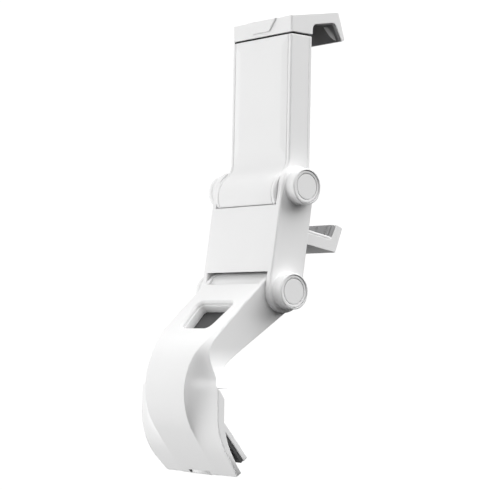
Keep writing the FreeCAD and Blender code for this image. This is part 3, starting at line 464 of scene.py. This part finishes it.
class Blank:
    """A piece being shaped, in millimetres from a point of the side view."""

    def __init__(self, origin: Point = (0.0, 0.0)) -> None:
        """Start an empty mesh, whose sizes are measured from the (y, z) of its origin."""
        self.origin = origin
        self.mesh = bmesh.new()

    def face(self, corners: Sequence[Sequence[float]]) -> bmesh.types.BMFace:
        """Add one flat face with these (x, y, z) corners in order, and return it."""
        return self.mesh.faces.new([self.mesh.verts.new(corner) for corner in corners])

    def push(self, faces: Sequence[bmesh.types.BMFace], way: Sequence[float]) -> None:
        """Extrude faces into a closed solid.

        Args:
            faces: the faces of one side.
            way: how far the other side lies from them.
        """
        geom = bmesh.ops.extrude_face_region(self.mesh, geom=list(faces), use_keep_orig=True)["geom"]
        moved = [item for item in geom if isinstance(item, bmesh.types.BMVert)]
        bmesh.ops.translate(self.mesh, verts=moved, vec=way)

    def bar(self, outline: Sequence[Point], low: float, high: float) -> None:
        """Run a side-view outline of (y, z) corners along the width, from low to high."""
        self.push([self.face([(low, y, z) for y, z in outline])], (high - low, 0.0, 0.0))

    def spin(self, section: bmesh.types.BMFace, angle: float, steps: int) -> None:
        """Turn the edges of a face about the width axis.

        Args:
            section: the face, which itself is taken out.
            angle: how far it turns, in radians.
            steps: flats on the way.
        """
        geom = list(section.edges) + list(section.verts)
        bmesh.ops.delete(self.mesh, geom=[section], context="FACES_ONLY")
        bmesh.ops.spin(
            self.mesh,
            geom=geom,
            cent=(0.0, 0.0, 0.0),
            axis=(1.0, 0.0, 0.0),
            angle=angle,
            steps=steps,
            use_merge=angle == FULL_TURN,
        )

    def turn(self, outline: Sequence[Point]) -> None:
        """Turn a closed outline of (x, radius) corners all the way round the width axis."""
        self.spin(self.face([(x, radius, 0.0) for x, radius in outline]), FULL_TURN, TURN_STEPS)

    def soften(self, width: float, segments: int = 2) -> None:
        """Round the sharp edges.

        Args:
            width: width of the rounding.
            segments: steps across it.
        """
        self.mesh.normal_update()
        folds = [edge for edge in self.mesh.edges if len(edge.link_faces) == 2]
        bmesh.ops.bevel(
            self.mesh,
            geom=[edge for edge in folds if edge.calc_face_angle() > ROUNDED_ABOVE],
            offset=width,
            offset_type="OFFSET",
            segments=segments,
            profile=0.5,
            affect="EDGES",
            material=-1,
            clamp_overlap=True,
        )

    def finish(
        self,
        name: str,
        body: Body,
        slot: Slot,
        material: bpy.types.Material,
        replaced: Sequence[str] = (),
    ) -> None:
        """Put the mesh in its place and hand it over as a piece.

        Args:
            name: the piece's name.
            body: the body that it rides on.
            slot: not used.
            material: its finish.
            replaced: CAD nodes that it stands for.
        """
        mesh = self.mesh
        bmesh.ops.recalc_face_normals(mesh, faces=mesh.faces)
        bmesh.ops.translate(mesh, verts=mesh.verts, vec=(0.0, self.origin[0], self.origin[1]))
        bmesh.ops.scale(mesh, verts=mesh.verts, vec=(MM, MM, MM))
        for edge in mesh.edges:
            edge.smooth = len(edge.link_faces) != 2 or edge.calc_face_angle() < SMOOTH_BELOW
        for face in mesh.faces:
            face.smooth = True
        data = bpy.data.meshes.new(name)
        mesh.to_mesh(data)
        mesh.free()
        data.materials.append(material)
        piece = bpy.data.objects.new(name, data)
        bpy.context.scene.collection.objects.link(piece)
        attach(piece, body.value)
        if replaced:
            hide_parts(*replaced)
        LOG.info("%s: piece %s with %d faces", body.value, name, len(data.polygons))


def axis_of(node: str) -> Point:
    """The (y, z) of a pin's axis in millimetres.

    Args:
        node: the pin's CAD node.

    Returns:
        The middle of its box in the side view.
    """
    low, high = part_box(node)
    return ((low[1] + high[1]) / 2.0 / MM, (low[2] + high[2]) / 2.0 / MM)


def toward(start: Point, end: Point) -> Point:
    """Unit direction from one point of the side view to another.

    Args:
        start: where it starts.
        end: where it points.

    Returns:
        The direction.
    """
    length = math.hypot(end[0] - start[0], end[1] - start[1])
    return ((end[0] - start[0]) / length, (end[1] - start[1]) / length)


def stepped(point: Point, along: Point, far: float, out: Point = (0.0, 0.0), off: float = 0.0) -> Point:
    """A point of the side view moved along one direction and out along another.

    Args:
        point: where it starts.
        along: first unit direction.
        far: distance along it.
        out: second unit direction.
        off: distance along that.

    Returns:
        The moved point.
    """
    return (point[0] + along[0] * far + out[0] * off, point[1] + along[1] * far + out[1] * off)


def crossing(first: Point, along: Point, second: Point, other: Point) -> Point:
    """Where two lines of the side view meet.

    Args:
        first: a point of the first line.
        along: its direction.
        second: a point of the second line.
        other: its direction.

    Returns:
        The common point.
    """
    spread = along[0] * other[1] - along[1] * other[0]
    far = ((second[0] - first[0]) * other[1] - (second[1] - first[1]) * other[0]) / spread
    return stepped(first, along, far)


def strip(point: Point, along: Point, run: Point, out: Point, rise: Point) -> Outline:
    """A straight strip in the side view.

    Args:
        point: the point that it is measured from.
        along: unit direction of its length.
        run: where its length starts and ends.
        out: unit direction of its thickness.
        rise: where its thickness starts and ends.

    Returns:
        Its four corners in order.
    """
    corners = ((run[0], rise[0]), (run[0], rise[1]), (run[1], rise[1]), (run[1], rise[0]))
    return tuple(stepped(point, along, far, out, off) for far, off in corners)


@dataclass
class SubAssembly:
    """Pieces of one body and how they are dressed."""

    palette: Palette
    body: Body = Body.BRACKET
    softened: tuple[str, ...] = ()
    weld_gap: float = 0.002
    edge_width: float = 0.22
    edge_segments: int = 2
    edge_angle: float = 35.0

    def soften_edges(self, node: str) -> None:
        """Round the sharp edges of a CAD node with modifiers, which leave its mesh as it is.

        Args:
            node: the node's name.
        """
        shape = frame["nodes"][node]
        weld = shape.modifiers.new("weld", "WELD")
        weld.merge_threshold = self.weld_gap * MM
        bevel = shape.modifiers.new("soft_edges", "BEVEL")
        bevel.width = self.edge_width * MM
        bevel.segments = self.edge_segments
        bevel.limit_method = "ANGLE"
        bevel.angle_limit = math.radians(self.edge_angle)
        bevel.use_clamp_overlap = False
        bevel.loop_slide = False
        bevel.harden_normals = False
        weighted = shape.modifiers.new("even_shading", "WEIGHTED_NORMAL")
        weighted.keep_sharp = True

    def pieces(self) -> None:
        """Build the pieces that the CAD leaves to the looks."""

    def build(self) -> None:
        """Dress the CAD nodes of this body and add its pieces."""
        slots = {row["node"]: Slot(row["material_slot"]) for row in frame["record"]["subparts"]}
        for node in frame["record"]["behaviour"]["bodies"][self.body.value]:
            self.palette.dress(node, slots[node])
            LOG.info("%s: %s in %s", self.body.value, node, slots[node].value)
        for node in self.softened:
            self.soften_edges(node)
        self.pieces()


@dataclass
class Bracket(SubAssembly):
    """The arm with its barrel and window, and the small notch at the skirt's lower edge."""

    body: Body = Body.BRACKET
    softened: tuple[str, ...] = ("bracket_shell", "bracket_liner")
    sleeve_half: float = 13.35
    sleeve_inner: float = 5.9
    sleeve_outer: float = 6.95
    sleeve_start: float = 20.0
    sleeve_end: float = 167.0
    sleeve_steps: int = 40
    sleeve_edge: float = 0.1
    arm_slope: float = 42.5
    arm_front: float = 7.1
    window_top_half: float = 9.6
    window_end_half: float = 7.5
    window_start: float = 13.1
    window_end: float = 25.8
    window_corner: float = 2.2
    window_corner_steps: int = 6
    ledge_depth: float = 1.5
    ledge_back: float = 4.3
    ledge_width: float = 0.6
    ledge_buried: float = 0.15
    ledge_edge: float = 0.15
    pocket_shade_low: float = -5.45
    pocket_shade_high: float = -4.45
    pocket_shade_outline: Outline = ((5.70, -20.09), (6.45, -20.89), (6.68, -20.64), (5.98, -19.84))
    pocket_shade_edge: float = 0.06
    shelf_low: float = -4.38
    shelf_high: float = 5.48
    shelf_outline: Outline = ((5.90, -19.70), (6.80, -20.77), (6.53, -21.01))
    shelf_edge: float = 0.02

    def sleeve(self) -> None:
        """Turn the barrel's skin, which leaves a narrow gap under the link's front wall."""
        start = math.radians(self.sleeve_start)
        inner = (self.sleeve_inner * math.cos(start), self.sleeve_inner * math.sin(start))
        outer = (self.sleeve_outer * math.cos(start), self.sleeve_outer * math.sin(start))
        corners = [(-self.sleeve_half, *inner), (-self.sleeve_half, *outer)]
        corners += [(self.sleeve_half, *outer), (self.sleeve_half, *inner)]
        blank = Blank(axis_of("lower_hinge_pin"))
        blank.spin(blank.face(corners), math.radians(self.sleeve_end - self.sleeve_start), self.sleeve_steps)
        ends = [edge for edge in blank.mesh.edges if edge.is_boundary]
        bmesh.ops.holes_fill(blank.mesh, edges=ends, sides=4)
        blank.soften(self.sleeve_edge)
        blank.finish("barrel_sleeve", self.body, Slot.WHITE, self.palette.made[Slot.WHITE])

    def ledge(self) -> None:
        """Set the stepped frame into the arm's window."""
        slope = math.radians(self.arm_slope)
        down = (-math.cos(slope), -math.sin(slope))
        out = (-math.sin(slope), math.cos(slope))
        start = self.window_start - self.ledge_buried
        end = self.window_end + self.ledge_buried
        top = self.window_top_half + self.ledge_buried
        low = self.window_end_half + self.ledge_buried
        level = self.arm_front - self.ledge_depth
        blank = Blank(axis_of("lower_hinge_pin"))
        corners = ((-top, start), (top, start), (low, end), (-low, end))
        plate = blank.face([(x, *stepped((0.0, 0.0), down, far, out, level)) for x, far in corners])
        bmesh.ops.bevel(
            blank.mesh,
            geom=list(plate.verts),
            offset=self.window_corner,
            offset_type="OFFSET",
            segments=self.window_corner_steps,
            profile=0.5,
            affect="VERTICES",
            material=-1,
        )
        plate = list(blank.mesh.faces)[0]
        width = self.ledge_width + self.ledge_buried
        bmesh.ops.inset_individual(blank.mesh, faces=[plate], thickness=width, use_even_offset=True)
        bmesh.ops.delete(blank.mesh, geom=[plate], context="FACES_ONLY")
        depth = self.ledge_back - self.ledge_depth
        blank.push(list(blank.mesh.faces), (0.0, -out[0] * depth, -out[1] * depth))
        blank.soften(self.ledge_edge)
        blank.finish("window_ledge", self.body, Slot.WHITE, self.palette.made[Slot.WHITE])

    def notch(self) -> None:
        """Fill the small pocket with a black piece as painted shade, and lay a shelf of lighter white beside
        it as a painted highlight.
        """
        # Painted shade: a black piece fills the pocket where there is only shade.
        pocket_shade_piece = Blank()
        pocket_shade_piece.bar(self.pocket_shade_outline, self.pocket_shade_low, self.pocket_shade_high)
        pocket_shade_piece.soften(self.pocket_shade_edge, segments=1)
        pocket_shade_piece.finish("skirt_pocket_painted_shade", self.body, Slot.BLACK, self.palette.made[Slot.BLACK])
        # Painted highlight: the shelf gets a lighter copy of the white moulding.
        shelf = Blank()
        shelf.bar(self.shelf_outline, self.shelf_low, self.shelf_high)
        shelf.soften(self.shelf_edge, segments=1)
        shelf.finish("notch_painted_highlight", self.body, Slot.WHITE, self.palette.bright.build())

    def pieces(self) -> None:
        """Build the sleeve, the window's ledge, and the painted shade and painted highlight at the notch."""
        self.sleeve()
        self.ledge()
        self.notch()


@dataclass(frozen=True)
class Ring:
    """Section of a ring at a cap: its radii, and where it starts and ends outwards of the cap's face."""

    inner: float
    outer: float
    start: float
    end: float

    def outline(self, face: float, sign: float) -> Outline:
        """The section on one side of the clip.

        Args:
            face: x of the cap's outer face.
            sign: 1 on the right side, -1 on the left.

        Returns:
            Its (x, radius) corners.
        """
        low = face + sign * self.start
        high = face + sign * self.end
        return ((low, self.inner), (low, self.outer), (high, self.outer), (high, self.inner))


@dataclass
class Link(SubAssembly):
    """The piece between the two hinges, with the rings at its four caps."""

    body: Body = Body.LINK
    softened: tuple[str, ...] = (
        "link_shell",
        "link_back_cover",
        "upper_cap_right",
        "lower_cap_right",
        "upper_cap_left",
        "lower_cap_left",
    )
    flange: Ring = Ring(4.4, 5.24, -0.6, -0.05)
    collar: Ring = Ring(5.7, 5.96, -1.5, 0.08)
    ring_edge: float = 0.08

    def rings(self) -> None:
        """Fill the flange of each cap almost to its disc, and put the fine collar round each boss."""
        for name in ("upper", "lower"):
            for side, sign in (("right", 1.0), ("left", -1.0)):
                low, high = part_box(f"{name}_cap_{side}")
                face = (high[0] if sign > 0.0 else low[0]) / MM
                blank = Blank(axis_of(f"{name}_hinge_pin"))
                for ring in (self.flange, self.collar):
                    blank.turn(ring.outline(face, sign))
                blank.soften(self.ring_edge)
                white = self.palette.made[Slot.WHITE]
                blank.finish(f"{name}_ring_{side}", self.body, Slot.WHITE, white)

    def pieces(self) -> None:
        """Build the rings of the caps."""
        self.rings()


@dataclass
class Clamp(SubAssembly):
    """The clamp with the ribbed rubber and rims of its claw, and a dark rubber ring under the jaw as painted
    shade in the gap.
    """

    body: Body = Body.CLAMP
    softened: tuple[str, ...] = ("clamp_front_cover", "clamp_back_plate", "clamp_housing")
    lip: Point = (19.85, -11.0)
    corner: Point = (17.2, -16.35)
    root: Point = (7.0, -14.55)
    grip_half: float = 15.15
    grip_t: float = 1.4
    grip_top: float = 0.9
    grip_floor_t: float = 0.4
    grip_floor_length: float = 7.5
    grip_buried: float = 0.25
    grip_edge: float = 0.12
    groove_low: float = 14.5
    groove_high: float = 14.85
    rib_pitch: float = 5.0
    rib_count: int = 6
    rib_half: float = 0.3
    rib_height: float = 0.22
    rib_buried: float = 0.2
    rib_foot: float = 0.6
    rib_short: float = 0.5
    rim_low: float = 14.4
    rim_high: float = 15.37
    rim_start: float = 0.1
    rim_length: float = 10.4
    rim_height: float = 0.95
    rim_buried: float = 0.2
    rim_edge: float = 0.3
    gap_shade_half: float = 14.95
    gap_shade_front: float = -1.7
    gap_shade_back: float = 6.6
    gap_shade_low: float = 51.46
    gap_shade_t: float = 0.45
    gap_shade_width: float = 0.9
    gap_shade_edge: float = 0.12

    def grip(self) -> None:
        """Line the claw's lip and floor with ribbed rubber."""
        rise = toward(self.corner, self.lip)
        inward = (-rise[1], rise[0])
        floor = toward(self.corner, self.root)
        above = (floor[1], -floor[0])
        top = stepped(self.lip, rise, -self.grip_top)
        face_top = stepped(top, inward, self.grip_t)
        floor_start = stepped(self.corner, above, self.grip_floor_t)
        outline = [
            face_top,
            crossing(face_top, rise, floor_start, floor),
            stepped(floor_start, floor, self.grip_floor_length),
            stepped(self.corner, floor, self.grip_floor_length, above, -self.grip_buried),
            stepped(self.corner, above, -self.grip_buried, inward, -self.grip_buried),
            stepped(top, inward, -self.grip_buried),
        ]
        blank = Blank(axis_of("upper_hinge_pin"))
        for start, end in (
            (-self.grip_half, -self.groove_high),
            (-self.groove_low, self.groove_low),
            (self.groove_high, self.grip_half),
        ):
            blank.bar(outline, start, end)
        blank.soften(self.grip_edge)
        foot = stepped(outline[1], rise, self.rib_foot)
        length = math.hypot(face_top[0] - foot[0], face_top[1] - foot[1]) - self.rib_short
        rib = strip(foot, rise, (0.0, length), inward, (-self.rib_buried, self.rib_height))
        for rank in range(self.rib_count):
            middle = (rank - (self.rib_count - 1) / 2.0) * self.rib_pitch
            blank.bar(rib, middle - self.rib_half, middle + self.rib_half)
        material = self.palette.claw_rubber.build()
        blank.finish("claw_grip", self.body, Slot.RUBBER, material, ["claw_pad"])

    def rims(self) -> None:
        """Raise the claw's white rims at both ends of the rubber."""
        floor = toward(self.corner, self.root)
        above = (floor[1], -floor[0])
        run = (self.rim_start, self.rim_length)
        rim = strip(self.corner, floor, run, above, (-self.rim_buried, self.rim_height))
        blank = Blank(axis_of("upper_hinge_pin"))
        blank.bar(rim, self.rim_low, self.rim_high)
        blank.bar(rim, -self.rim_high, -self.rim_low)
        blank.soften(self.rim_edge)
        blank.finish("claw_rims", self.body, Slot.WHITE, self.palette.made[Slot.WHITE])

    def gap_shade(self) -> None:
        """Lay a thin dark rubber ring on the housing's top, inside the gap under the jaw, as painted shade
        that darkens the gap.
        """
        blank = Blank(axis_of("upper_hinge_pin"))
        corners = [(-self.gap_shade_half, self.gap_shade_front), (self.gap_shade_half, self.gap_shade_front)]
        corners += [(self.gap_shade_half, self.gap_shade_back), (-self.gap_shade_half, self.gap_shade_back)]
        plate = blank.face([(x, y, self.gap_shade_low) for x, y in corners])
        width = self.gap_shade_width
        bmesh.ops.inset_individual(blank.mesh, faces=[plate], thickness=width, use_even_offset=True)
        bmesh.ops.delete(blank.mesh, geom=[plate], context="FACES_ONLY")
        blank.push(list(blank.mesh.faces), (0.0, 0.0, self.gap_shade_t))
        blank.soften(self.gap_shade_edge)
        blank.finish("jaw_gap_painted_shade", self.body, Slot.RUBBER, self.palette.gap_shade_rubber.build())

    def pieces(self) -> None:
        """Build the grip, the rims and the painted shade in the gap under the jaw."""
        self.grip()
        self.rims()
        self.gap_shade()


@dataclass
class Jaw(SubAssembly):
    """The sliding hook with the liner inside it and the hollow at the liner's right end."""

    body: Body = Body.JAW
    softened: tuple[str, ...] = ("jaw_hook", "jaw_trim")
    lip: Point = (20.65, 51.42)
    rear: Point = (17.3, 57.4)
    front: Point = (7.5, 55.55)
    liner_half: float = 15.15
    liner_t: float = 1.1
    liner_low: float = 0.5
    liner_ceiling_t: float = 0.5
    liner_reach: float = 8.1
    liner_buried: float = 0.25
    liner_edge: float = 0.25
    hollow_left: Outline = (
        (13.98, 1.0),
        (12.9, 1.65),
        (11.99, 2.63),
        (11.55, 3.5),
        (11.17, 4.48),
        (10.8, 5.5),
    )
    hollow_right: Outline = ((10.55, 6.35), (12.9, 6.25), (13.75, 5.0), (14.0, 3.8), (14.15, 2.4))
    hollow_raise: float = 0.06
    hollow_t: float = 0.5
    # Painted shade: the lens runs from the first colour to the second along shade_way.
    hollow_light: Colour = (0.78, 0.78, 0.78)
    hollow_painted_shade: Colour = (0.14, 0.14, 0.143)
    shade_way: Triple = (1.0, 0.0, 0.62)
    shade_start_x: float = 12.0
    shade_start_height: float = 2.6
    shade_run: float = 2.3

    def liner(self) -> tuple[Point, Point, Point]:
        """Line the hook's lip and ceiling with rubber.

        Returns:
            The lip's lower inner point on the rubber's face, the way up it and the way out of it.
        """
        rise = toward(self.lip, self.rear)
        inward = (-rise[1], rise[0])
        ceiling = toward(self.rear, self.front)
        below = (-ceiling[1], ceiling[0])
        foot = stepped(self.lip, rise, self.liner_low)
        face_low = stepped(foot, inward, self.liner_t)
        roof = stepped(self.rear, below, self.liner_ceiling_t)
        outline = [
            face_low,
            crossing(face_low, rise, roof, ceiling),
            stepped(roof, ceiling, self.liner_reach),
            stepped(self.rear, ceiling, self.liner_reach, below, -self.liner_buried),
            stepped(self.rear, below, -self.liner_buried, inward, -self.liner_buried),
            stepped(foot, inward, -self.liner_buried),
        ]
        blank = Blank(axis_of("upper_hinge_pin"))
        blank.bar(outline, -self.liner_half, self.liner_half)
        blank.soften(self.liner_edge)
        material = self.palette.jaw_rubber.build()
        blank.finish("jaw_liner", self.body, Slot.RUBBER, material, ["jaw_pad"])
        return stepped(self.lip, inward, self.liner_t), rise, inward

    def hollow(self, foot: Point, rise: Point, inward: Point) -> None:
        """Set the white lens into the liner's right end, where the hook shows through, with painted shade
        darkening it along one direction.

        Args:
            foot: the point that heights are measured from.
            rise: the way up the lip.
            inward: the way out of the rubber.
        """
        axis = axis_of("upper_hinge_pin")
        blank = Blank(axis)
        corners = []
        for x, height in self.hollow_left + self.hollow_right:
            corners.append((x, *stepped(foot, rise, height, inward, self.hollow_raise)))
        back = (0.0, -inward[0] * self.hollow_t, -inward[1] * self.hollow_t)
        blank.push([blank.face(corners)], back)
        # The lens's colour darkens along shade_way as painted shade.
        way = Vector(self.shade_way).normalized()
        level = self.lip[1] + self.shade_start_height + axis[1]
        start = way.dot(Vector((self.shade_start_x, 0.0, level)) * MM)
        end = start + self.shade_run * MM
        shades = (self.hollow_light, self.hollow_painted_shade)
        finish = PaintedShadePlastic("painted_shade_moulding", *shades, tuple(way), start, end)
        blank.finish("jaw_hollow", self.body, Slot.WHITE, finish.build())

    def pieces(self) -> None:
        """Build the liner and its hollow."""
        self.hollow(*self.liner())


@dataclass(frozen=True)
class SoftBox:
    """A round soft box painted on the tent; angles in degrees, azimuth from -Y towards +X."""

    name: str
    azimuth: float
    elevation: float
    strength: float
    spread: float = 25.0
    edge: float = 10.0

    def direction(self) -> Triple:
        """Where the box stands.

        Returns:
            Unit vector from the part to the box.
        """
        turn = math.radians(self.azimuth)
        rise = math.radians(self.elevation)
        return (math.sin(turn) * math.cos(rise), -math.cos(turn) * math.cos(rise), math.sin(rise))


@dataclass
class Studio:
    """Paper floor, soft light and the camera at the photograph's viewing angle."""

    floor_z: float = -0.4
    floor_half: float = 3.0
    floor_cells: int = 4
    eye: Triple = (442.0045 * MM, -340.7227 * MM, 21.7726 * MM)
    right: Triple = (0.63631555, 0.771175, 0.01978987)
    up: Triple = (0.03143058, -0.05154931, 0.99817573)
    focal_pixels: float = 1712.58
    sensor: float = 36.0
    nearest: float = 0.01
    farthest: float = 50.0
    backdrop: float = 1.05
    boxes: tuple[SoftBox, ...] = (
        SoftBox("behind", 150.0, 40.0, 4.5),
        SoftBox("overhead", 180.0, 85.0, 3.0),
        SoftBox("left", -80.0, 0.0, 1.7),
        SoftBox("low", -30.0, -40.0, 2.3),
        SoftBox("right", 90.0, 40.0, 1.8),
        SoftBox("left_front", -40.0, 0.0, 1.5),
        SoftBox("front", 30.0, 40.0, 1.0),
        SoftBox("left_high", -90.0, 40.0, 0.9),
        SoftBox("left_low", -90.0, -40.0, 0.5),
        SoftBox("level", 30.0, 0.0, 0.6),
    )

    def camera(self) -> None:
        """Stand the camera."""
        right = Vector(self.right)
        up = Vector(self.up)
        back = right.cross(up)
        data = bpy.data.cameras.new("viewpoint")
        data.sensor_fit = "HORIZONTAL"
        data.sensor_width = self.sensor
        data.lens = self.focal_pixels * self.sensor / IMAGE_SIZE
        data.clip_start = self.nearest
        data.clip_end = self.farthest
        stand = bpy.data.objects.new("viewpoint", data)
        turn = Matrix((right, up, back)).transposed().to_4x4()
        stand.matrix_world = Matrix.Translation(Vector(self.eye)) @ turn
        bpy.context.scene.collection.objects.link(stand)
        bpy.context.scene.camera = stand
        bpy.context.view_layer.update()

    def floor(self) -> None:
        """Lay the paper, which only the camera sees."""
        mesh = bpy.data.meshes.new("backdrop")
        grid = bmesh.new()
        cells = self.floor_cells
        place = Matrix.Translation((0.0, 0.0, self.floor_z))
        bmesh.ops.create_grid(grid, x_segments=cells, y_segments=cells, size=self.floor_half, matrix=place)
        grid.to_mesh(mesh)
        grid.free()
        floor = bpy.data.objects.new("backdrop", mesh)
        bpy.context.scene.collection.objects.link(floor)
        mesh.materials.append(BackdropPaper().build())
        floor.visible_diffuse = False
        floor.visible_glossy = False
        floor.visible_shadow = False

    def sky(self) -> None:
        """Surround the part with soft boxes in the dark, and show the camera plain white."""
        world = bpy.data.worlds.new("light_tent")
        bpy.context.scene.world = world
        world.use_nodes = True
        bench = NodeBench(world.node_tree)
        way = bench.add("ShaderNodeTexCoord", output="Generated")
        light: Operand = 0.0
        for box in self.boxes:
            inner = math.cos(math.radians(box.spread - box.edge))
            outer = math.cos(math.radians(box.spread + box.edge))
            light = light + bench.eased(bench.facing(way, box.direction()), outer, inner, box.strength)
            LOG.info("soft box %s of strength %.1f", box.name, box.strength)
        ray = bench.add("ShaderNodeLightPath", output="Is Camera Ray")
        strength = ray * self.backdrop + (1.0 - ray) * light
        glow = bench.add("ShaderNodeBackground", None, {"Color": (1.0, 1.0, 1.0, 1.0), "Strength": strength})
        bench.add("ShaderNodeOutputWorld", None, {"Surface": glow})

    def build(self) -> None:
        """Build the studio."""
        self.floor()
        self.sky()
        self.camera()
        bpy.context.scene.view_settings.view_transform = "Standard"
        LOG.info("studio ready")


def main() -> None:
    """Build the palette, the sub-assemblies and the studio."""
    logging.basicConfig(level=logging.INFO, format="%(name)s %(message)s")
    palette = Palette()
    palette.build()
    for assembly in (Bracket(palette), Link(palette), Clamp(palette), Jaw(palette)):
        assembly.build()
    Studio().build()


if __name__ == "__main__":
    main()
